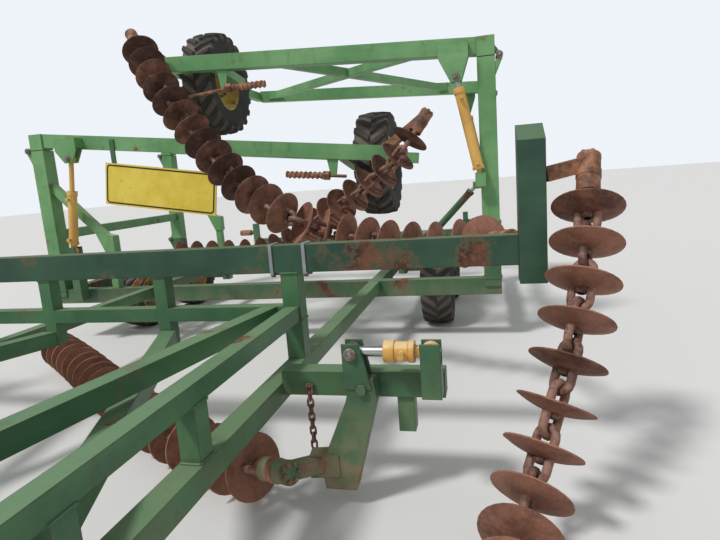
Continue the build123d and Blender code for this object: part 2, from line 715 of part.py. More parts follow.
# Left fold posts with tie, near stay and the stand of the ram
left_ram_foot = (-1990, 1010)
left_ram_head = (-1850, 1960)
stay_foot = (-1620, 1080)
stay_head = (-2225, 1680)
stay_size = 80
with BuildPart() as left_posts:
    for station in (near_station, far_station):
        fold_post(-1, station, left_head_height)
        bar((stay_head[0] - 20, y_at(station), stay_head[1] + 20), (stay_foot[0], y_at(station), stay_foot[1]),
            stay_size, stay_size)
        bar((stay_foot[0], y_at(station), frame_top), (stay_foot[0], y_at(station), stay_foot[1] + 60),
            stay_size, stay_size)
        plate(Plane.XZ.offset(-y_at(station)), (
            (stay_foot[0] - 150, stay_foot[1] + 110), (stay_foot[0] + 60, stay_foot[1] + 60),
            (stay_foot[0] + 60, stay_foot[1] - 140), (stay_foot[0] - 40, stay_foot[1] - 140)), 100)
    bar((-post_half, y_at(near_station), post_tie_height), (-post_half, y_at(far_station), post_tie_height), 100, 100)
finish(left_posts.part, "left_posts")
with BuildPart() as left_wing_frame:
    left_height = wing_frame(-1, left_head_height, left_tip, -left_tip_drop, left_tip - 705)
    ram_gusset(-1, left_ram_head, near_ram_station, near_station - rail_width / 2,
               left_height(left_ram_head[0]) - wing_rail_height / 2)
    wheel_arm(left_height, left_wing_wheel, -1, left_wing_wheel[0] - wing_tyre["width"] / 2 - 90)
finish(left_wing_frame.part, "left_wing_frame")
with BuildPart() as left_wing_swivel:
    swivel(left_tip_chain_route, (left_tip - 60, near_station, left_height(left_tip - 60)), 70)
    add(left_wing_frame.part, mode=Mode.SUBTRACT)
finish(left_wing_swivel.part, "left_wing_swivel")
with BuildPart() as left_ram_stand:
    foot_cheeks(left_ram_foot, near_ram_station, (near_ram_station - cheek_half, near_station - rail_width / 2),
                frame_top - 100)
finish(left_ram_stand.part, "left_ram_stand")
with BuildPart() as left_ram:
    ram_barrel(left_ram_foot, left_ram_head, near_ram_station, 330)
    ram_rod(left_ram_foot, left_ram_head, near_ram_station, 120)
finish(left_ram.part, "left_ram")

# Blank sign board, hung under the left wing's near rail, with its hangers
sign_length = 1230
sign_height = 420
sign_thick = 16
sign_middle = (-905, 1590)
sign_tilt = 9
with BuildPart() as sign_board:
    with Locations(Location((sign_middle[0], y_at(near_station - 90), sign_middle[1]), (0, sign_tilt, 0))):
        Box(sign_length, sign_thick, sign_height)
finish(sign_board.part, "sign_board")
with BuildPart() as sign_hangers:
    hanger_station = near_station - rail_width / 2 - 7
    for x in (-1400, -330):
        rail_mid = left_height(x)
        sign_mid = sign_middle[1] - (x - sign_middle[0]) * sin(radians(sign_tilt))
        block((x - 25, x + 25), (hanger_station - 7, hanger_station + 7), (sign_mid + 80, rail_mid + 40))
        block((x - 25, x + 25), (near_station - 90 + sign_thick / 2, hanger_station - 6),
              (sign_mid + 80, sign_mid + 120))
finish(sign_hangers.part, "sign_hangers")

# Tension arm of the ground chain, beside the right truss, with its bracket and small ram
tension_pin = (1690, 600)
tension_station = 5620
tension_foot = (2010, 770)
tension_head = (1650, 770)
bracket_station = 5750
bracket_size = 110
chord_face = chord_half + lower_chord_size / 2
with BuildPart() as tension_bracket:
    block((chord_face, 2060), (bracket_station - bracket_size / 2, bracket_station + bracket_size / 2), (520, 640))
    block((1830, 1910), (bracket_station - 40, bracket_station + 40), (340, 520))
    rod((tension_pin[0], y_at(bracket_station), tension_pin[1]),
        (tension_pin[0], y_at(tension_station - 60), tension_pin[1]), 25)
    foot_cheeks(tension_foot, tension_station, (tension_station - cheek_half, tension_station + cheek_half), 560)
    block((tension_foot[0] - 45, tension_foot[0] + 45), (tension_station, bracket_station), (560, 640))
finish(tension_bracket.part, "tension_bracket")
with BuildPart() as tension_arm:
    with BuildSketch(Plane.XZ.offset(-y_at(tension_station))) as outline:
        with BuildLine():
            Polyline((1635, 640), (1745, 650), (1760, 560), (1630, 95), (1480, 95), (1465, 210), (1610, 540), close=True)
        make_face()
    extrude(outline.sketch, amount=40, both=True)
    for offset_y in (-1, 1):
        middle = tension_station + offset_y * (cheek_half - cheek_thick / 2)
        plate(Plane.XZ.offset(-y_at(middle)), ((1610, 815), (1690, 815), (1740, 600), (1610, 600)), cheek_thick)
    bar((1550, y_at(tension_station), 215), (1410, y_at(5600), 215), 90, 110)
    with BuildSketch(Plane.XZ.offset(-y_at(tension_station) - 100)) as bore:
        with Locations(tension_pin):
            Circle(25 + pin_fit)
    extrude(bore.sketch, amount=200, mode=Mode.SUBTRACT)
    block((1560, 1740), (tension_station - slot_width() / 2, tension_station + slot_width() / 2), (670, 900),
          Mode.SUBTRACT)
    swivel(ground_chain_route, (1470, 5610, 215), 70)
finish(tension_arm.part, "tension_arm")
with BuildPart() as tension_ram_barrel:
    ram_barrel(tension_foot, tension_head, tension_station, 150)
finish(tension_ram_barrel.part, "tension_ram_barrel")
with BuildPart() as tension_ram_rod:
    ram_rod(tension_foot, tension_head, tension_station, 120)
finish(tension_ram_rod.part, "tension_ram_rod")

# Far ends of the two hanging chains: one on the right end arm, one on an arm from the near cross rail
with BuildPart() as chain_anchors:
    end_swivel(upper_chain_route, (beam_half + arm_thick / 2, beam_station + 70, 1160), 60)
    end_swivel(left_tip_chain_route, (-1500, near_station, rail_middle), 60)
    add(end_arms.part, mode=Mode.SUBTRACT)
    add(front_beam.part, mode=Mode.SUBTRACT)
    add(centre_frame.part, mode=Mode.SUBTRACT)
finish(chain_anchors.part, "chain_anchors")
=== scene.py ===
import math

import bmesh
import bpy
import numpy as np
from mathutils import Matrix, Vector


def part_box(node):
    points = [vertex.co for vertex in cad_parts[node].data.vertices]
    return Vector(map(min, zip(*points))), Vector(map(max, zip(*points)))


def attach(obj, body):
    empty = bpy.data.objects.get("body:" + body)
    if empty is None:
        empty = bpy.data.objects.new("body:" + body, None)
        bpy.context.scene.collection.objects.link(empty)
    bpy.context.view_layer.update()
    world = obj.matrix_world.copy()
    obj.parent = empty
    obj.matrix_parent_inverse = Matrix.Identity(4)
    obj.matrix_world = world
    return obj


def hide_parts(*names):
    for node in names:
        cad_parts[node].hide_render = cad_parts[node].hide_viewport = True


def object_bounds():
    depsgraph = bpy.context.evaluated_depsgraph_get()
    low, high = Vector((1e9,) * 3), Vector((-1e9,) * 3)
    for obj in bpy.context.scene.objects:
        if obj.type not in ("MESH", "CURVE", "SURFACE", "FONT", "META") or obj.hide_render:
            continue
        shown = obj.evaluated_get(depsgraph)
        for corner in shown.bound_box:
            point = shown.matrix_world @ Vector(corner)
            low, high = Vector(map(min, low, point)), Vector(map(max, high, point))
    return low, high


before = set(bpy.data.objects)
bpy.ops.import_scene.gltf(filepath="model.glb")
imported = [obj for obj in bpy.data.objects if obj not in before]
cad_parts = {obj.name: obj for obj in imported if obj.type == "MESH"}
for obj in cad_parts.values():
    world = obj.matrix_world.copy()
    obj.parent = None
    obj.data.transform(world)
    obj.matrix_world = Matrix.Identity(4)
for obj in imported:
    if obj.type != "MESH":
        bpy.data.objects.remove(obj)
cad_low, cad_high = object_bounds()

# Camera and studio. The camera stands ahead of the front beam, beside the drawbar, at head height.
# A pale floor, one soft sun from the upper left and an even sky light the machine.
photo_width = 720
focal_length_in_pixels = 544
camera_data = bpy.data.cameras.new("camera")
camera_data.sensor_width = 36
camera_data.lens = camera_data.sensor_width * focal_length_in_pixels / photo_width
camera_data.clip_end = 400
camera = bpy.data.objects.new("camera", camera_data)
bpy.context.scene.collection.objects.link(camera)
bpy.context.scene.camera = camera
yaw, pitch, roll = math.radians(13.68), math.radians(9.58), math.radians(4.27)
ahead = Vector((-math.sin(yaw) * math.cos(pitch), math.cos(yaw) * math.cos(pitch), -math.sin(pitch)))
level = ahead.to_track_quat("-Z", "Y").to_matrix()
camera.location = (2.28, -3.05, 1.55)
camera.rotation_euler = (level @ Matrix.Rotation(-roll, 3, "Z")).to_euler()

scene = bpy.context.scene
scene.view_settings.view_transform = "Standard"
world = bpy.data.worlds.new("sky")
scene.world = world
world.use_nodes = True
sky = world.node_tree
sky.nodes.clear()
sky_out = sky.nodes.new("ShaderNodeOutputWorld")
sky_mix = sky.nodes.new("ShaderNodeMixShader")
sky_light = sky.nodes.new("ShaderNodeBackground")
sky_light.inputs["Color"].default_value = (0.94, 0.97, 1.0, 1)
sky_light.inputs["Strength"].default_value = 0.5
sky_seen = sky.nodes.new("ShaderNodeBackground")
sky_seen.inputs["Color"].default_value = (0.86, 0.9, 0.95, 1)
sky_path = sky.nodes.new("ShaderNodeLightPath")
sky.links.new(sky_path.outputs["Is Camera Ray"], sky_mix.inputs[0])
sky.links.new(sky_light.outputs[0], sky_mix.inputs[1])
sky.links.new(sky_seen.outputs[0], sky_mix.inputs[2])
sky.links.new(sky_mix.outputs[0], sky_out.inputs[0])
sun_data = bpy.data.lights.new("sun", "SUN")
sun_data.energy = 2.0
sun_data.angle = math.radians(9)
sun = bpy.data.objects.new("sun", sun_data)
sun.rotation_euler = Vector((0.45, 0.5, -0.95)).to_track_quat("-Z", "Y").to_euler()
scene.collection.objects.link(sun)


# Finishes: every surface of the machine is painted, rusted, rubber or chromed.
# A finish is one material, made from its own wires; arithmetic on the wires adds the Math nodes.
class Wire:
    """An output inside a finish. Adding, multiplying and so on gives a new wire."""

    def __init__(self, finish, socket):
        self.finish, self.socket = finish, socket

    def math(self, operation, *terms):
        """The result of a Math node on these terms."""
        return self.finish.node("ShaderNodeMath", {"operation": operation}, dict(enumerate(terms)))

    def __add__(self, other):
        return self.math("ADD", self, other)

    def __sub__(self, other):
        return self.math("SUBTRACT", self, other)

    def __rsub__(self, other):
        return self.math("SUBTRACT", other, self)

    def __mul__(self, other):
        return self.math("MULTIPLY", self, other)

    __radd__ = __add__
    __rmul__ = __mul__

    def over(self, low, high):
        """0 below low, 1 above high and smooth between."""
        return self.finish.node("ShaderNodeMapRange", {"interpolation_type": "SMOOTHSTEP"},
                                {"Value": self, "From Min": low, "From Max": high})


class Finish:
    """A material and its node tree. close() joins the last wires to its shader."""

    def __init__(self, name):
        self.material = bpy.data.materials.new(name)
        self.material.use_nodes = True
        self.tree = self.material.node_tree
        self.shader = self.tree.nodes["Principled BSDF"]
        self.point = self.node("ShaderNodeTexCoord", {}, {}, "Object")
        self.facing = self.node("ShaderNodeTexCoord", {}, {}, "Normal")

    def node(self, kind, settings, inputs, output=0):
        """A new node with these settings and inputs, as a wire from one of its outputs."""
        made = self.tree.nodes.new(kind)
        for key, value in settings.items():
            setattr(made, key, value)
        for key, value in inputs.items():
            if isinstance(value, Wire):
                self.tree.links.new(value.socket, made.inputs[key])
            else:
                made.inputs[key].default_value = value
        return Wire(self, made.outputs[output])

    def noise(self, scale, detail=4.0, roughness=0.55, stretch=None):
        """Cloudy noise, its scale in features per metre, stretched by a factor on each axis."""
        vector = self.point
        if stretch:
            vector = self.node("ShaderNodeMapping", {}, {"Vector": self.point, "Scale": stretch})
        return self.node("ShaderNodeTexNoise", {}, {
            "Vector": vector, "Scale": scale, "Detail": detail, "Roughness": roughness})

    def blend(self, share, low, high):
        """A colour that goes from low to high with the share."""
        return self.node("ShaderNodeMix", {"data_type": "RGBA"}, {0: share, 6: low, 7: high}, 2)

    def part(self, vector, axis):
        """One coordinate of a vector wire."""
        return self.node("ShaderNodeSeparateXYZ", {}, {0: vector}, axis)

    def close(self, colour, roughness, metallic=0.0, bump=None, bump_height=0.001, normal=None):
        """Joins the last wires to the shader and gives the material."""
        if bump is not None:
            inputs = {"Height": bump, "Distance": bump_height, "Strength": 1.0}
            if normal is not None:
                inputs["Normal"] = normal
            normal = self.node("ShaderNodeBump", {}, inputs)
        for key, value in (("Base Color", colour), ("Roughness", roughness), ("Metallic", metallic),
                           ("Normal", normal)):
            if isinstance(value, Wire):
                self.tree.links.new(value.socket, self.shader.inputs[key])
            elif value is not None:
                self.shader.inputs[key].default_value = value
        return self.material


def rust_colour(finish):
    """Old rust: dark brown crust, brown field and orange bloom."""
    crust = finish.noise(9, 6, 0.65)
    bloom = finish.noise(34, 5, 0.7)
    brown = finish.blend(crust.over(0.34, 0.66), (0.045, 0.019, 0.012, 1), (0.185, 0.075, 0.038, 1))
    return finish.blend(bloom.over(0.52, 0.78), brown, (0.36, 0.165, 0.085, 1))


dust_top = 0.75


def paint_finish(name, fresh, deep, faded, rust_from, least_rough=0.38, rubbed=()):
    """Paint on steel tube: cloudy fading, most on upper faces, chipped edges, rust patches, dust low down.

    rust_from is the noise level above which the paint has gone; a lower one means more rust. least_rough is
    the roughness of clean paint. rubbed lists stretches along X, each a middle and a half length, where a
    chain has rubbed and the rust is worst.
    """
    f = Finish(name)
    rounded = f.node("ShaderNodeBevel", {"samples": 4}, {"Radius": 0.007})
    flat = f.node("ShaderNodeNewGeometry", {}, {}, "Normal")
    agree = f.node("ShaderNodeVectorMath", {"operation": "DOT_PRODUCT"}, {0: rounded, 1: flat}, "Value")
    edge = (1 - agree).over(0.015, 0.16)
    cloud = f.noise(1.7, 5, 0.6)
    streak = f.noise(5.0, 4, 0.6, (0.35, 0.35, 2.2))
    grain = f.noise(120, 3, 0.6)
    up = f.part(f.facing, 2).over(0.3, 0.95)
    colour = f.blend(cloud.over(0.33, 0.68), deep, fresh)
    colour = f.blend((streak * 0.7 + up * 0.42).over(0.34, 0.82) * 0.72, colour, faded)
    stain = f.noise(7, 5, 0.7, (1, 1, 0.45)).over(0.54, 0.74)
    colour = f.blend(stain * 0.42, colour, (0.055, 0.06, 0.035, 1))
    patch = f.noise(3.1, 8, 0.68) + edge * 0.13 + grain * 0.05
    for middle, half_length in rubbed:
        distance = f.part(f.point, 0).math("ABSOLUTE", f.part(f.point, 0) - middle)
        patch = patch + (1 - distance.over(half_length * 0.3, half_length)) * 0.13
    bare = patch.over(rust_from, rust_from + 0.035)
    chip = (f.noise(55, 5, 0.7) + edge * 0.34).over(0.74, 0.79)
    gone = f.node("ShaderNodeMath", {"operation": "MAXIMUM"}, {0: bare, 1: chip})
    halo = patch.over(rust_from - 0.07, rust_from + 0.01) * 0.55
    colour = f.blend(halo, colour, (0.16, 0.105, 0.05, 1))
    colour = f.blend(gone, colour, rust_colour(f))
    height = f.part(f.point, 2)
    dust = (1 - height.over(0.02, dust_top)) * f.noise(6, 5, 0.6).over(0.3, 0.65)
    colour = f.blend(dust * 0.75 + up * 0.16 * cloud, colour, (0.36, 0.235, 0.15, 1))
    rough = gone * 0.34 + dust * 0.3 + up * 0.12 + streak * 0.16 + least_rough
    return f.close(colour, rough, 0.0, grain * 0.25 + gone * -0.7 + f.noise(18, 3) * 0.5, 0.0016, rounded)


def dress(node, material):
    """Gives a CAD node its material in every slot."""
    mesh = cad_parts[node].data
    mesh.materials.clear()
    mesh.materials.append(material)


# Green box-section frame: side trusses, drawbar legs, ties, front beam, centre frame, posts and wings.
# Welded square tube, sprayed green long ago; the drawbar is darker, the wings are more faded. The front beam
# and end arms are darker still, with painted shade.
green_drawbar = paint_finish("green_drawbar", (0.075, 0.205, 0.085, 1), (0.035, 0.115, 0.05, 1),
                             (0.15, 0.29, 0.15, 1), 0.68)
green_wings = paint_finish("green_wings", (0.19, 0.4, 0.165, 1), (0.11, 0.29, 0.105, 1),
                           (0.36, 0.54, 0.29, 1), 0.7)
# Painted shade: the front beam's greens are darkened to stand in for the shade it lies in.
shaded_beam_green = paint_finish("shaded_beam_green", (0.034, 0.1, 0.055, 1), (0.016, 0.054, 0.033, 1),
                          (0.085, 0.2, 0.095, 1), 0.69, rubbed=((1.72, 0.42), (2.2, 0.13)))
green_rusty = paint_finish("green_rusty", (0.06, 0.165, 0.075, 1), (0.03, 0.095, 0.045, 1),
                           (0.12, 0.24, 0.13, 1), 0.6)
for node in ("hitch", "jack_leg", "side_truss_right", "side_truss_left", "cross_ties", "drawbar_legs",
             "drawbar_braces", "rear_beam", "wheel_arms", "tension_bracket", "left_ram_stand"):
    dress(node, green_drawbar)
for node in ("front_beam", "end_arms"):
    dress(node, shaded_beam_green)
for node in ("tension_arm", "centre_frame"):
    dress(node, green_rusty)
for node in ("right_posts", "right_wing_frame", "left_posts", "left_wing_frame"):
    dress(node, green_wings)


# Disc chains. Each link carries one dished steel disc, and the links are hooked together in turn.
# The links are round bar, bent and welded to a loop; links and discs are rusted steel, polished nowhere.
def grid_faces(rows, columns, wrap_rows, wrap_columns):
    """Quads of a grid of points, joined round in either direction.

    The point in row i and column j has the number i * columns + j.
    """
    i = np.arange(rows if wrap_rows else rows - 1)[:, None]
    j = np.arange(columns if wrap_columns else columns - 1)[None, :]
    here, below = i * columns, (i + 1) % rows * columns
    beside = (j + 1) % columns
    return np.stack([here + j, here + beside, below + beside, below + j], -1).reshape(-1, 4)


def lathe(profile, turns, wrap=False):
    """A profile of (distance along X, radius) turned about the X axis: (along, radius cos, radius sin).

    A profile that starts and ends at radius 0 is closed by its poles; wrap joins its last point to its first.
    """
    profile = np.array(profile, float)
    angle = np.linspace(0, 2 * math.pi, turns, endpoint=False)
    along = np.repeat(profile[:, :1], turns, 1)
    points = np.stack([along, profile[:, 1:] * np.cos(angle), profile[:, 1:] * np.sin(angle)], -1)
    return points.reshape(-1, 3), grid_faces(len(profile), turns, wrap, True)


def ring_bar(centres, radius, sides):
    """A round bar along a closed flat loop in the XY plane: a circle across each point's direction."""
    centres = np.array(centres, float)
    ahead_of = np.roll(centres, -1, 0) - np.roll(centres, 1, 0)
    ahead_of /= np.linalg.norm(ahead_of, axis=1)[:, None]
    outward = np.stack([ahead_of[:, 1], -ahead_of[:, 0], 0 * ahead_of[:, 0]], 1)
    angle = np.linspace(0, 2 * math.pi, sides, endpoint=False)
    offset = (outward[:, None] * np.cos(angle)[None, :, None]
              + np.array([0, 0, 1.0]) * np.sin(angle)[None, :, None]) * radius
    return (centres[:, None] + offset).reshape(-1, 3), grid_faces(len(centres), sides, True, True)


def copies(shape, turns, places):
    """A shape set at many places, each with its own turn: point -> turn times point, plus place."""
    points, faces = shape
    turns, places = np.array(turns, float).reshape(-1, 3, 3), np.array(places, float).reshape(-1, 3)
    placed = np.einsum("kij,nj->kni", turns, points) + places[:, None]
    shifted = faces[None] + (np.arange(len(places)) * len(points))[:, None, None]
    return placed.reshape(-1, 3), shifted.reshape(-1, 4)


def together(*shapes):
    """Several shapes as one."""
    starts = np.cumsum([0] + [len(points) for points, _ in shapes[:-1]])
    return (np.concatenate([points for points, _ in shapes]),
            np.concatenate([faces + start for (_, faces), start in zip(shapes, starts)]))


def make_piece(name, shape, material, body, nodes=(), values=None, sharp=32):
    """A mesh object from a shape: doubles merged, faces outwards, smooth up to the sharp angle in degrees."""
    points, faces = shape
    mesh = bpy.data.meshes.new(name)
    mesh.from_pydata(points, [], faces.tolist())
    if values is not None:
        mesh.attributes.new("tone", "FLOAT", "POINT").data.foreach_set("value", np.array(values, np.float32))
    shell = bmesh.new()
    shell.from_mesh(mesh)
    bmesh.ops.remove_doubles(shell, verts=shell.verts, dist=2e-5)
    bmesh.ops.recalc_face_normals(shell, faces=shell.faces)
    shell.to_mesh(mesh)
    shell.free()
    mesh.shade_smooth()
    mesh.set_sharp_from_angle(angle=math.radians(sharp))
    mesh.materials.append(material)
    piece = bpy.data.objects.new(name, mesh)
    scene.collection.objects.link(piece)
    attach(piece, body)
    if nodes:
        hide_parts(*nodes)
    return piece


def smooth_line(points, steps):
    """A Catmull-Rom curve through the points, with that many steps in each span."""
    points = np.array(points, float)
    padded = np.vstack([points[:1], points, points[-1:]])
    b, a, c, d = (padded[k:len(padded) - 3 + k, None] for k in range(4))
    t = (np.arange(steps) / steps)[None, :, None]
    curve = 0.5 * (2 * a + (c - b) * t + (2 * b - 5 * a + 4 * c - d) * t**2 + (3 * a - b - 3 * c + d) * t**3)
    return np.vstack([curve.reshape(-1, points.shape[1]), points[-1:]])


def turns_along(along):
    """Turns whose first column runs along the given directions."""
    along = np.array(along, float).reshape(-1, 3)
    along = along / np.linalg.norm(along, axis=1)[:, None]
    side = np.cross(along, (0.003, 0.2, 1.0))
    side /= np.linalg.norm(side, axis=1)[:, None]
    return np.stack([along, side, np.cross(along, side)], 2)


# A station is a distance back from the tip of the hitch, so Y is the station less half the machine's length.
half_machine = (cad_high[1] - cad_low[1]) / 2
disc_pitch = 0.188


def chain_frames(route):
    """Middle and turn of each link of a chain, and the joints between them, a pitch apart along the route."""
    line = smooth_line([(x, station - half_machine, z) for x, station, z in route], 24)
    run = np.concatenate([[0], np.cumsum(np.linalg.norm(np.diff(line, axis=0), axis=1))])
    marks = np.arange(0, run[-1], disc_pitch)
    joints = np.stack([np.interp(marks, run, line[:, k]) for k in range(3)], 1)
    return (joints[1:] + joints[:-1]) / 2, turns_along(np.diff(joints, axis=0)), joints


def rolled(turns, angles):
    """Turns with an added roll about their own X axis."""
    c, s = np.cos(angles), np.sin(angles)
    zero, one = 0 * c, 0 * c + 1
    roll_by = np.stack([one, zero, zero, zero, c, -s, zero, s, c], 1).reshape(-1, 3, 3)
    return turns @ roll_by


def leaned(turns, angles):
    """Turns with an added lean about their own Y axis."""
    c, s = np.cos(angles), np.sin(angles)
    zero, one = 0 * c, 0 * c + 1
    lean_by = np.stack([c, zero, s, zero, one, zero, -s, zero, c], 1).reshape(-1, 3, 3)
    return turns @ lean_by


disc_radius = 0.164
disc_dish = 0.036
disc_wall = 0.007
reach = np.linspace(0, 1, 8)
bowl = np.stack([disc_dish / 2 - disc_dish * reach**2, disc_radius * reach], 1)
rim_edge = [(-disc_dish / 2 - disc_wall * 0.45, disc_radius)]
back_of_bowl = bowl[::-1] * (1, 0.985) - (disc_wall, 0)
disc = lathe(np.vstack([bowl, rim_edge, back_of_bowl]), 28)
link_bar = 0.019
link_half = (disc_pitch + 2 * link_bar) / 2
link_side = 0.042
bend = np.linspace(-math.pi / 2, math.pi / 2, 8)
link_end = np.stack([link_half - link_side + link_side * np.cos(bend), link_side * np.sin(bend), 0 * bend], 1)
link = ring_bar(np.vstack([link_end, link_end * (-1, -1, 1)]), link_bar, 8)
weld_ring = lathe([(-0.002, 0.026), (0.01, 0.031), (0.02, 0.026), (0.026, 0.018)], 10, True)

f = Finish("disc_rust")
# Each disc's tone is its own random rust tone plus painted light: lighter low down, darker high up as painted
# shade.
tone = f.node("ShaderNodeAttribute", {"attribute_name": "tone"}, {}, "Fac")
crust = f.noise(11, 7, 0.68)
speck = f.noise(60, 4, 0.7)
ring_mark = f.noise(3.5, 4, 0.6)
shade = crust * 0.75 + ring_mark * 0.25 + tone
brown = f.blend(shade.over(0.36, 0.82), (0.055, 0.021, 0.014, 1), (0.34, 0.15, 0.095, 1))
brown = f.blend((speck * 0.6 + shade * 0.4).over(0.55, 0.74) * 0.8, brown, (0.42, 0.2, 0.125, 1))
brown = f.blend(f.noise(22, 5, 0.7).over(0.6, 0.72) * 0.5, brown, (0.025, 0.012, 0.01, 1))
disc_rust = f.close(brown, 0.62 + 0.25 * crust, 0.0, speck * 0.6 + crust * 0.8, 0.0018)
f = Finish("link_rust")
tone = f.node("ShaderNodeAttribute", {"attribute_name": "tone"}, {}, "Fac")
crust = f.noise(26, 6, 0.65)
brown = f.blend((crust + tone).over(0.38, 0.66), (0.12, 0.056, 0.04, 1), (0.34, 0.185, 0.135, 1))
link_rust = f.close(brown, 0.6 + 0.2 * crust, 0.0, crust + 0.5 * f.noise(90, 3), 0.0016)

# Routes: each point is X, station and height. The resting chains lie on their discs' rims.
rest_height = 0.172
landing_height = 0.184
front_route = ((2.74, 6.07, 1.4), (2.69, 5.86, 1.08), (2.59, 5.64, 0.74), (2.42, 5.37, 0.32),
               (2.33, 5.06, landing_height), (2.24, 4.56, rest_height))
chain_routes = {
    "front_chain_right": front_route,
    "front_chain_left": tuple((-x, station, z) for x, station, z in front_route),
    "right_wing_chain": ((-0.87, 8.105, 2.914), (-0.453, 7.79, 2.396), (-0.058, 7.602, 1.948),
                         (0.171, 7.461, 1.737), (0.389, 7.358, 1.54), (0.612, 7.234, 1.413),
                         (0.786, 7.13, 1.337), (0.893, 7.095, 1.278), (0.973, 7.178, 1.223),
                         (1.127, 7.262, 1.158), (1.259, 7.258, 1.129), (1.573, 7.117, 1.079),
                         (1.912, 6.987, 1.058), (2.239, 6.864, 1.093), (2.33, 6.6, 1.13)),
    "left_wing_chain": ((1.69, 8.05, 1.9), (1.628, 7.99, 1.808), (1.539, 8.008, 1.694), (1.418, 8.056, 1.597),
                        (1.282, 8.104, 1.528), (1.142, 8.156, 1.416), (0.979, 8.216, 1.332),
                        (0.8, 8.33, 1.24), (0.56, 8.43, 1.11), (0.31, 8.47, 0.95), (0, 8.5, 0.86),
                        (-0.6, 8.52, 0.85), (-1.13, 8.52, 0.87)),
    "ground_chain": ((1.2, 5.5, 0.23), (0.85, 5.69, rest_height), (0, 6.2, rest_height),
                     (-1.13, 7.05, rest_height), (-1.85, 7.56, rest_height)),
}

# Discs carry painted shade above one height and grow lighter below it with painted sunlight.
shade_above = 1.55
shade_fade = 0.35
ring_ahead = 0.015
lean_spread = math.radians(2.2)
twist_spread = 0.07
tone_spread = 0.05
draw = np.random.default_rng(7)
chain_ends = {}
for name, route in chain_routes.items():
    middles, turns, joints = chain_frames(route)
    count = len(middles)
    chain_ends[name] = (joints, turns)
    spin = draw.uniform(0, 2 * math.pi, count)
    lean = draw.normal(0, lean_spread, count)
    disc_turns = leaned(rolled(turns, spin), lean)
    # Painted light: discs below the shade height are made lighter; those above it stay dark as painted shade.
    painted_sun_low = np.clip((shade_above - middles[:, 2]) / shade_fade, 0, 1)
    plate_tones_and_light = np.repeat(draw.normal(0, tone_spread, count) + 0.2 * painted_sun_low, len(disc[0]))
    make_piece(f"{name}_discs", copies(disc, disc_turns, middles), disc_rust, "frame", (name,),
               plate_tones_and_light, 50)
    quarter = (np.arange(count) % 2) * math.pi / 2 + draw.normal(0, twist_spread, count)
    link_turns = rolled(turns, quarter)
    ring_places = middles + turns[:, :, 0] * ring_ahead
    loops = together(copies(link, link_turns, middles), copies(weld_ring, turns, ring_places))
    link_tones = np.concatenate([np.repeat(draw.normal(0.02, tone_spread, count), len(link[0])),
                                 np.full(count * len(weld_ring[0]), -0.08)])
    make_piece(f"{name}_links", loops, link_rust, "frame", (), link_tones, 60)


# Chain swivels: turned housings with a flange and bolts at both ends, on square arms.
# Cast steel, rusted to orange; each sits on the line of its chain's first or last link.
f = Finish("swivel_rust")
crust = f.noise(14, 7, 0.66)
orange = f.blend(crust.over(0.36, 0.66), (0.13, 0.055, 0.03, 1), (0.42, 0.19, 0.1, 1))
orange = f.blend(f.noise(5, 5, 0.6).over(0.5, 0.7) * 0.6, orange, (0.07, 0.035, 0.025, 1))
swivel_rust = f.close(orange, 0.55 + 0.25 * crust, 0.0, crust + 0.4 * f.noise(80, 3), 0.0016)
swivel_length = 0.21
flange_set_in = 0.001
bolt_circle = 0.041
flange = lathe([(0, 0.02), (0, 0.053), (0.004, 0.0565), (0.02, 0.0565), (0.024, 0.054)], 24, True)
band_ring = lathe([(0.08, 0.05), (0.083, 0.0585), (0.125, 0.0585), (0.128, 0.05)], 24, True)
swivel_bolt = lathe([(0, 0), (0, 0.011), (0.009, 0.011), (0.011, 0.009), (0.011, 0)], 6)
bolt_ring = np.linspace(0, 2 * math.pi, 6, endpoint=False)
no_turn = np.eye(3)
end_for_end = np.array([[-1.0, 0, 0], [0, -1.0, 0], [0, 0, 1.0]])
swivel_bolts = copies(swivel_bolt, np.repeat(no_turn[None], 6, 0), np.stack(
    [0 * bolt_ring, bolt_circle * np.cos(bolt_ring), bolt_circle * np.sin(bolt_ring)], 1))
swivel_shape = together(
    copies(flange, [no_turn], [(flange_set_in, 0, 0)]),
    copies(flange, [end_for_end], [(swivel_length - flange_set_in, 0, 0)]),
    band_ring,
    copies(swivel_bolts, [no_turn], [(swivel_length, 0, 0)]))
swivel_rows = (
    # name, chain, which end of it, gap to the chain, body
    ("front_swivels", "front_chain_right", "start", 0.0003, "frame"),
    ("front_swivels", "front_chain_left", "start", 0.0003, "frame"),
    ("right_wing_swivel", "right_wing_chain", "start", 0.008, "right_wing"),
    ("left_wing_swivel", "left_wing_chain", "start", 0.0003, "frame"),
    ("chain_anchors", "right_wing_chain", "end", 0.0003, "frame"),
    ("chain_anchors", "left_wing_chain", "end", 0.0003, "frame"),
    ("tension_swivel", "ground_chain", "start", 0.0003, "tension_arm"),
)
for name, chain, which_end, gap, body in swivel_rows:
    joints, turns = chain_ends[chain]
    if which_end == "start":
        near, along = joints[0], -turns[0][:, 0]
    else:
        near, along = joints[-1], turns[-1][:, 0]
    make_piece(f"{name}_{chain}_flanges", copies(swivel_shape, turns_along(along), near + along * gap),
               swivel_rust, body, (), sharp=30)
for node in ("front_swivels", "right_wing_swivel", "left_wing_swivel", "rear_swivels", "chain_anchors"):
    dress(node, swivel_rust)


# Tyres: deep chevron bars on a bulged casing, dust in the grooves. Black rubber gone grey-brown.
# The tread follows one formula, so every tyre differs only by its sizes and its number of bars.
f = Finish("tyre_rubber")
groove = f.node("ShaderNodeAttribute", {"attribute_name": "tone"}, {}, "Fac")
cloud = f.noise(5, 5, 0.6)
rubber = f.blend(cloud.over(0.3, 0.7), (0.022, 0.021, 0.021, 1), (0.05, 0.046, 0.043, 1))
rubber = f.blend((groove * 0.8 + cloud * 0.4).over(0.35, 1.0) * 0.8, rubber, (0.17, 0.135, 0.105, 1))
tyre_rubber = f.close(rubber, 0.74 + 0.12 * cloud, 0.0, f.noise(45, 5, 0.65) + 0.4 * f.noise(160, 2), 0.0009)


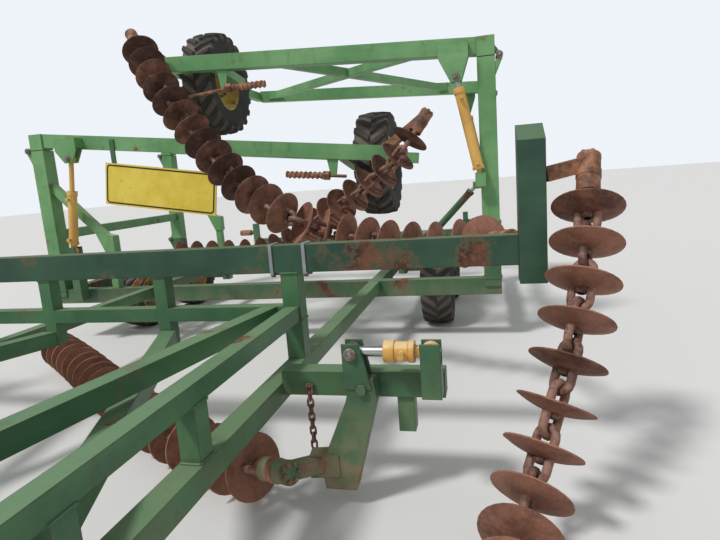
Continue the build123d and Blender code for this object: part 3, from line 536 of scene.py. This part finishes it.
def tyre_shape(radius, half, rim, bars, depth):
    """A tyre about the X axis, with its tone: dark on the bars and dusty in the grooves.

    The grooves lie where bars * angle / 2 pi + 0.9 |x / half| is near a whole number, and those of one side
    are half a bar behind. Each profile point is X, radius and the share of the tread's depth cut there.
    """
    across = np.linspace(-1, 1, 31)
    crown = np.stack([across * half * 0.93, radius * (1 - 0.034 * across**2), 0 * across + 1], 1)
    side = np.array([(0.985, 0.93, 0.8), (1.0, 0.85, 0.12), (0.995, 0.77, 0), (0.97, 0.69, 0),
                     (0.88, 0.61, 0)])
    wall = np.stack([half * side[:, 0], radius * side[:, 1], side[:, 2]], 1)
    bead = np.array([(half * 0.8, rim + 0.02, 0), (half * 0.74, rim + 0.001, 0)])
    profile = np.vstack([bead[::-1] * (-1, 1, 1), wall[::-1] * (-1, 1, 1), crown, wall, bead])
    turns = bars * 20
    angle = np.linspace(0, 2 * math.pi, turns, endpoint=False)
    x, height, tread = (np.repeat(profile[:, k:k + 1], turns, 1) for k in range(3))
    reach = np.abs(x) / half
    phase = bars * angle / (2 * math.pi) + 0.9 * reach + 0.5 * (x > 0)
    swing = np.abs((phase % 1.0) * 2 - 1)
    bar_width = 0.5 - 0.06 * reach
    low = np.clip((swing - bar_width) / 0.13 + 0.5, 0, 1)
    low = low * low * (3 - 2 * low)
    drop = depth * low * tread
    points = np.stack([x - np.sign(x) * drop * 0.35 * (reach > 0.9), (height - drop) * np.cos(angle),
                       (height - drop) * np.sin(angle)], -1)
    tone = low * tread + (1 - tread) * 0.25
    return (points.reshape(-1, 3), grid_faces(len(profile), turns, True, True)), tone.reshape(-1)


# radius, half width, rim radius, bars, depth of the tread
wing_sizes = (0.52, 0.165, 0.27, 20, 0.03)
frame_sizes = (0.39, 0.15, 0.2, 18, 0.018)
wheel_sizes = {"front_right": frame_sizes, "rear_right": frame_sizes, "front_left": frame_sizes,
               "rear_left": frame_sizes, "right_wing": wing_sizes, "left_wing": wing_sizes}
rim_yellow = paint_finish("rim_yellow", (0.62, 0.42, 0.06, 1), (0.45, 0.28, 0.045, 1),
                          (0.66, 0.5, 0.2, 1), 0.66)
f = Finish("bolt_steel")
grit = f.noise(40, 4, 0.6)
bolt_steel = f.close(f.blend(grit.over(0.35, 0.65), (0.3, 0.29, 0.27, 1), (0.2, 0.11, 0.07, 1)),
                     0.42 + 0.3 * grit, 0.3, grit, 0.0008)
wheel_nut = lathe([(0, 0), (0, 0.02), (0.004, 0.02), (0.004, 0.0165), (0.02, 0.0165), (0.023, 0.014),
                   (0.023, 0.008), (0.034, 0.008), (0.034, 0)], 6)
nut_circle = 0.115
ring = np.linspace(0, 2 * math.pi, 8, endpoint=False)
for name, sizes in wheel_sizes.items():
    centre = np.mean(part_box(f"{name}_tyre"), axis=0)
    body = f"{name}_wheel"
    shape, tone_values = tyre_shape(*sizes)
    make_piece(f"{name}_tread", copies(shape, [no_turn], [centre]), tyre_rubber, body, (f"{name}_tyre",),
               tone_values, 40)
    dress(f"{name}_rim", rim_yellow)
    half = sizes[1]
    hub_end = half * 0.6
    nut_ring = copies(wheel_nut, np.repeat(no_turn[None], 8, 0), np.stack(
        [0 * ring + half * 0.15, nut_circle * np.cos(ring), nut_circle * np.sin(ring)], 1))
    nuts = together(nut_ring, copies(nut_ring, [end_for_end], [(half * 0.1, 0, 0)]))
    cap = lathe([(hub_end, 0.079), (hub_end + 0.006, 0.079), (hub_end + 0.02, 0.06),
                 (hub_end + 0.022, 0.041)], 24, True)
    caps = together(cap, copies(cap, [end_for_end], [(0, 0, 0)]))
    make_piece(f"{name}_nuts", copies(nuts, [no_turn], [centre]), bolt_steel, body, (),
               sharp=30)
    make_piece(f"{name}_hub_caps", copies(caps, [no_turn], [centre]), rim_yellow, body, (),
               sharp=30)


# Rams: yellow barrels with gland rings and ports, polished rods.
# Each ram lies in one plane across the machine, from a foot pin to a head pin.
ram_yellow = paint_finish("ram_yellow", (0.84, 0.5, 0.13, 1), (0.68, 0.36, 0.08, 1),
                          (0.86, 0.64, 0.34, 1), 0.68, 0.3)
f = Finish("rod_chrome")
smear = f.noise(9, 4, 0.6)
rod_chrome = f.close(f.blend(smear.over(0.4, 0.75), (0.66, 0.67, 0.68, 1), (0.4, 0.38, 0.35, 1)),
                     0.14 + 0.25 * smear, 1.0)
for node in ("wing_ram_barrels", "tension_ram_barrel", "left_ram"):
    dress(node, ram_yellow)
dress("link_ram_barrel", green_rusty)
for node in ("wing_ram_rods", "link_ram_rod", "tension_ram_rod"):
    dress(node, rod_chrome)
gland = lathe([(-0.05, 0.0455), (-0.05, 0.05), (-0.046, 0.0515), (-0.004, 0.0515), (0, 0.05),
               (0, 0.0255)], 28, True)
foot_ring = lathe([(0.07, 0.03), (0.07, 0.049), (0.074, 0.0505), (0.096, 0.0505), (0.1, 0.0455)],
                  28, True)
foot_port_at = 0.125
head_port_back = 0.085
port = lathe([(0.04, 0), (0.04, 0.016), (0.062, 0.016), (0.062, 0.012), (0.07, 0.012), (0.07, 0.019),
              (0.086, 0.019), (0.086, 0)], 12)
ram_rows = (
    # body, foot x, foot height, head x, head height, station,
    # gap from the barrel's end to the head pin, which way along Y its ports face
    ("wing_ram_barrels", 2.225, 1.48, 2.05, 2.33, 8.17, 0.095, -1),
    ("wing_ram_barrels", 2.225, 1.48, 2.05, 2.33, 10.83, 0.095, 1),
    ("link_ram_barrel", 1.5, 0.7, 2.14, 1.35, 10.57, 0.095, -1),
    ("frame", -1.99, 1.01, -1.85, 1.96, 8.17, 0.33, -1),
    ("tension_ram_barrel", 2.01, 0.77, 1.65, 0.77, 5.62, 0.15, -1),
)
for body, foot_x, foot_z, head_x, head_z, station, gap, port_side in ram_rows:
    start = np.array([foot_x, station - half_machine, foot_z])
    along = np.array([head_x - foot_x, 0, head_z - foot_z])
    length = np.linalg.norm(along)
    turn_to = turns_along(along)
    axis = along / length
    barrel_end = length - gap
    rings = together(copies(gland, turn_to, start + axis * barrel_end), copies(foot_ring, turn_to, start))
    port_spots = [start + axis * foot_port_at, start + axis * (barrel_end - head_port_back)]
    ports = copies(port, turns_along([(0, port_side, 0)] * 2), port_spots)
    painted = green_rusty if body == "link_ram_barrel" else ram_yellow
    make_piece(f"ram_rings_{int(station * 100)}_{body}", together(rings, ports), painted, body, (),
               sharp=30)


# Pins and bolts: heads and washers at the hinges, rams and clamps; grey steel with rust.
# A pin's two ends sit on the cheeks or ears that hold it.
pin_head = lathe([(0, 0), (0, 0.027), (0.003, 0.03), (0.011, 0.03), (0.014, 0.027), (0.014, 0)], 20)
hex_bolt = lathe([(0, 0), (0, 0.019), (0.003, 0.019), (0.003, 0.0145), (0.014, 0.0145), (0.016, 0.012),
                  (0.016, 0)], 6)
pin_rows = (
    # body, x, station, height, half length of the pin
    ("frame", 2.411, 8.3, 0.85, 0.075), ("frame", 2.411, 10.7, 0.85, 0.075),
    ("frame", -2.411, 8.3, 0.85, 0.075), ("frame", -2.411, 10.7, 0.85, 0.075),
    ("right_link", 2.411, 8.3, 2.48, 0.075), ("right_link", 2.411, 10.7, 2.48, 0.075),
    ("frame", -2.411, 8.3, 2.08, 0.075), ("frame", -2.411, 10.7, 2.08, 0.075),
    ("right_wing", 2.05, 8.17, 2.33, 0.045), ("right_wing", 2.05, 10.83, 2.33, 0.045),
    ("frame", -1.85, 8.17, 1.96, 0.045),
    ("right_link", 2.14, 10.57, 1.35, 0.045),
    ("tension_arm", 1.65, 5.62, 0.77, 0.045),
)
bolt_seat = 0.013
for body in ("frame", "right_link", "right_wing", "tension_arm"):
    ends = np.array([(x, station - half_machine + end * half, z, end)
                     for owner, x, station, z, half in pin_rows if owner == body for end in (-1, 1)])
    places, outward = ends[:, :3], ends[:, 3:] * (0, 1, 0)
    heads = copies(pin_head, turns_along(outward), places)
    bolts = copies(hex_bolt, turns_along(outward), places + outward * bolt_seat)
    make_piece(f"{body}_pin_heads", together(heads, bolts), bolt_steel, body, (), sharp=30)


# Beam clamps: galvanised straps round the front beam over each truss, with nuts beneath.
# The parking jack's leg has the same worn zinc.
f = Finish("strap_grey")
cloud = f.noise(8, 5, 0.6)
grey = f.blend(cloud.over(0.35, 0.7), (0.27, 0.3, 0.31, 1), (0.42, 0.45, 0.46, 1))
grey = f.blend(f.noise(15, 6, 0.7).over(0.56, 0.62) * 0.8, grey, (0.2, 0.1, 0.055, 1))
strap_grey = f.close(grey, 0.45 + 0.2 * cloud, 0.15, cloud, 0.001)
dress("beam_straps", strap_grey)
dress("jack_leg", strap_grey)
truss_x = 1.21
nut_spread = 0.095
nut_apart = 0.035
strap_low, strap_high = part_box("beam_straps")
strap_y = (strap_low.y + strap_high.y) / 2
spots = np.array([(side * truss_x + across * nut_spread, strap_y + back * nut_apart, strap_low.z)
                  for side in (-1, 1) for across in (-1, 1) for back in (-1, 1)])
downward = np.tile((0, 0, -1.0), (len(spots), 1))
make_piece("strap_nuts", copies(hex_bolt, turns_along(downward), spots), bolt_steel, "frame", (),
           sharp=30)


# Depth screws: a lug welded under each wing's near rail holds a threaded bar, and a smooth rod beside it.
# Forged steel with the same orange rust as the swivels; the threads are cut as one helix.
def threaded_bar(length, radius, depth, pitch):
    """A bar along X whose radius is radius + depth * sin(2 pi along / pitch + angle), closed at both ends."""
    along = np.linspace(0, length, round(length / pitch * 8) + 1)[:, None]
    angle = np.linspace(0, 2 * math.pi, 16, endpoint=False)[None, :]
    height = radius + depth * np.sin(2 * math.pi * along / pitch + angle)
    height[[0, -1]] = 0
    points = np.stack([along + 0 * angle, height * np.cos(angle), height * np.sin(angle)], -1)
    return points.reshape(-1, 3), grid_faces(len(along), 16, False, True)


def lug_plate(middle_x, top, foot, station, thick):
    """A four-cornered plate across Y, 110 mm wide at its top and 50 mm at its foot."""
    outline = np.array([(-0.055, top), (0.055, top), (0.025, foot), (-0.025, foot)])
    corners = [(middle_x + x, station - half_machine + y, z)
               for y in (-thick / 2, thick / 2) for x, z in outline]
    faces = [(0, 1, 2, 3), (7, 6, 5, 4), (0, 4, 5, 1), (1, 5, 6, 2), (2, 6, 7, 3), (3, 7, 4, 0)]
    return np.array(corners), np.array(faces)


screw_station = 8.262
lug_below_screw = 0.02
lug_thick = 0.012
screw_rows = (
    # body, lug x, lug top, thread from and to, rod to; each end is x and height
    ("right_wing", -0.12, 2.66, (-0.07, 2.475), (0.305, 2.478), (-0.49, 2.44)),
    ("frame", 0.89, 1.748, (0.82, 1.595), (0.423, 1.632), (1.01, 1.575)),
)
for body, lug_x, lug_top, thread_from, thread_to, rod_to in screw_rows:
    start, end, tip = (np.array([x, screw_station - half_machine, z])
                       for x, z in (thread_from, thread_to, rod_to))
    thread = threaded_bar(np.linalg.norm(end - start), radius=0.03, depth=0.006, pitch=0.045)
    rod_length = np.linalg.norm(tip - start)
    rod = lathe([(0, 0), (0, 0.015), (rod_length, 0.015), (rod_length, 0)], 14)
    nut = lathe([(-0.03, 0.02), (-0.03, 0.044), (0.03, 0.044), (0.03, 0.02)], 6, True)
    make_piece(f"{body}_depth_screw", together(
        copies(thread, turns_along(end - start), start), copies(rod, turns_along(tip - start), start),
        copies(nut, turns_along(end - start), start)), swivel_rust, body, (), sharp=50)
    lug_foot = thread_from[1] - lug_below_screw
    make_piece(f"{body}_screw_lug", lug_plate(lug_x, lug_top, lug_foot, screw_station, lug_thick),
               green_wings, body, (), sharp=30)


# Sign board: a blank yellow board with a black rounded border line, on two green hangers.
# Thin painted sheet, weathered; the border stands 1 mm proud of the face.
f = Finish("sign_yellow")
cloud = f.noise(4, 5, 0.6)
yellow = f.blend(cloud.over(0.35, 0.7), (0.76, 0.55, 0.05, 1), (0.86, 0.68, 0.1, 1))
yellow = f.blend(f.noise(14, 5, 0.7).over(0.58, 0.7) * 0.4, yellow, (0.4, 0.26, 0.09, 1))
dress("sign_board", f.close(yellow, 0.42 + 0.2 * cloud, 0.0, cloud, 0.0006))
dress("sign_hangers", green_rusty)
f = Finish("sign_black")
sign_black = f.close((0.018, 0.017, 0.016, 1), 0.5 + 0.2 * f.noise(10))
corner_angles = np.linspace(0, 2 * math.pi, 33)[:-1].reshape(4, 8) + math.pi / 32


def rounded_loop(half_x, half_z, radius):
    """Points round a rectangle with rounded corners: a quarter circle about each corner's centre."""
    hold_x = (half_x - radius) * np.array([1, -1, -1, 1])[:, None]
    hold_z = (half_z - radius) * np.array([1, 1, -1, -1])[:, None]
    across, up = hold_x + radius * np.cos(corner_angles), hold_z + radius * np.sin(corner_angles)
    return np.stack([across.ravel(), up.ravel()], 1)


outer_loop, inner_loop = rounded_loop(0.6, 0.195, 0.04), rounded_loop(0.585, 0.18, 0.028)
sign_low, sign_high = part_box("sign_board")
sign_middle = (sign_low + sign_high) / 2
border_proud = 0.001
sign_tilt = math.radians(9)
tilt_by = np.array([[math.cos(sign_tilt), -math.sin(sign_tilt)], [math.sin(sign_tilt), math.cos(sign_tilt)]])
border = []
for loop, depth in ((outer_loop, border_proud), (outer_loop, -border_proud), (inner_loop, -border_proud),
                    (inner_loop, border_proud)):
    tilted = loop @ tilt_by + (sign_middle.x, sign_middle.z)
    border.append(np.stack([tilted[:, 0], 0 * tilted[:, 0] + sign_low.y + depth, tilted[:, 1]], 1))
border_faces = grid_faces(len(border), len(outer_loop), True, True)
make_piece("sign_border", (np.concatenate(border), border_faces), sign_black, "frame", (),
           sharp=30)


# Weld beads round the feet and heads of posts and arms: small round bars on the joints, painted over.
# One table gives the middle and half sizes of each rectangle; both sides of the machine have it.
weld_rows = (
    # x, station, height, half width, half depth
    (2.3, 8.3, 0.58, 0.078, 0.078), (2.3, 10.7, 0.58, 0.078, 0.078),
    (1.21, 6.1, 0.8, 0.053, 0.053), (1.21, 6.1, 1.068, 0.053, 0.053), (0.4, 6.1, 1.068, 0.043, 0.043),
    (1.21, 3.7, 0.582, 0.043, 0.048), (1.21, 4.3, 0.582, 0.043, 0.048), (1.21, 4.96, 0.582, 0.043, 0.048),
    (1.21, 4.3, 0.798, 0.043, 0.048), (1.21, 4.96, 0.798, 0.043, 0.048),
)
bead_radius = 0.006
bead_corner = 0.008
beads = []
for x, station, z, wide, deep in weld_rows:
    outline = rounded_loop(wide, deep, bead_corner)
    bead = ring_bar(np.hstack([outline, np.zeros((len(outline), 1))]), bead_radius, 6)
    beads += [copies(bead, [no_turn], [(side * x, station - half_machine, z)]) for side in (1, -1)]
make_piece("weld_beads", together(*beads), green_drawbar, "frame", (), sharp=60)


# Safety chain: a short length of small chain that hangs from a staple on the tension arm's bracket.
# Plain round links, as rusty as the big chains.
small_bar = 0.006
small_pitch = 0.036
small_count = 9
small_side = 0.013
small_half = small_pitch / 2 + small_bar
small_end = np.stack([small_half - small_side + small_side * np.cos(bend), small_side * np.sin(bend),
                      0 * bend], 1)
small_link = ring_bar(np.vstack([small_end, small_end * (-1, -1, 1)]), small_bar, 6)
hang_from = np.array([1.405, 5.675 - half_machine, 0.56])
small_places = hang_from - np.arange(small_count)[:, None] * (0, 0, small_pitch)
small_turns = rolled(turns_along(np.tile((0, 0, -1.0), (small_count, 1))),
                     (np.arange(small_count) % 2) * math.pi / 2)
staple_end = np.stack([0.022 * np.cos(bend), 0.018 * np.sin(bend), 0 * bend], 1)
staple = ring_bar(np.vstack([staple_end, staple_end * (-0.2, -1, 1)]), 0.005, 6)
staple_turn = turns_along((0, -1.0, 0))
make_piece("safety_chain", together(copies(small_link, small_turns, small_places),
                                    copies(staple, staple_turn, hang_from + (0, 0.012, 0.016))),
           link_rust, "frame", (), sharp=60)


# Floor of the studio: one pale flat sheet, wide enough for every view.
# It is for the picture only and isn't part of the machine.
floor_mesh = bpy.data.meshes.new("floor")
floor_mesh.from_pydata([(-60, -60, 0), (60, -60, 0), (60, 90, 0), (-60, 90, 0)], [], [(0, 1, 2, 3)])
floor = bpy.data.objects.new("floor", floor_mesh)
scene.collection.objects.link(floor)
f = Finish("pale_floor")
floor_mesh.materials.append(f.close((0.74, 0.73, 0.71, 1), 0.9))
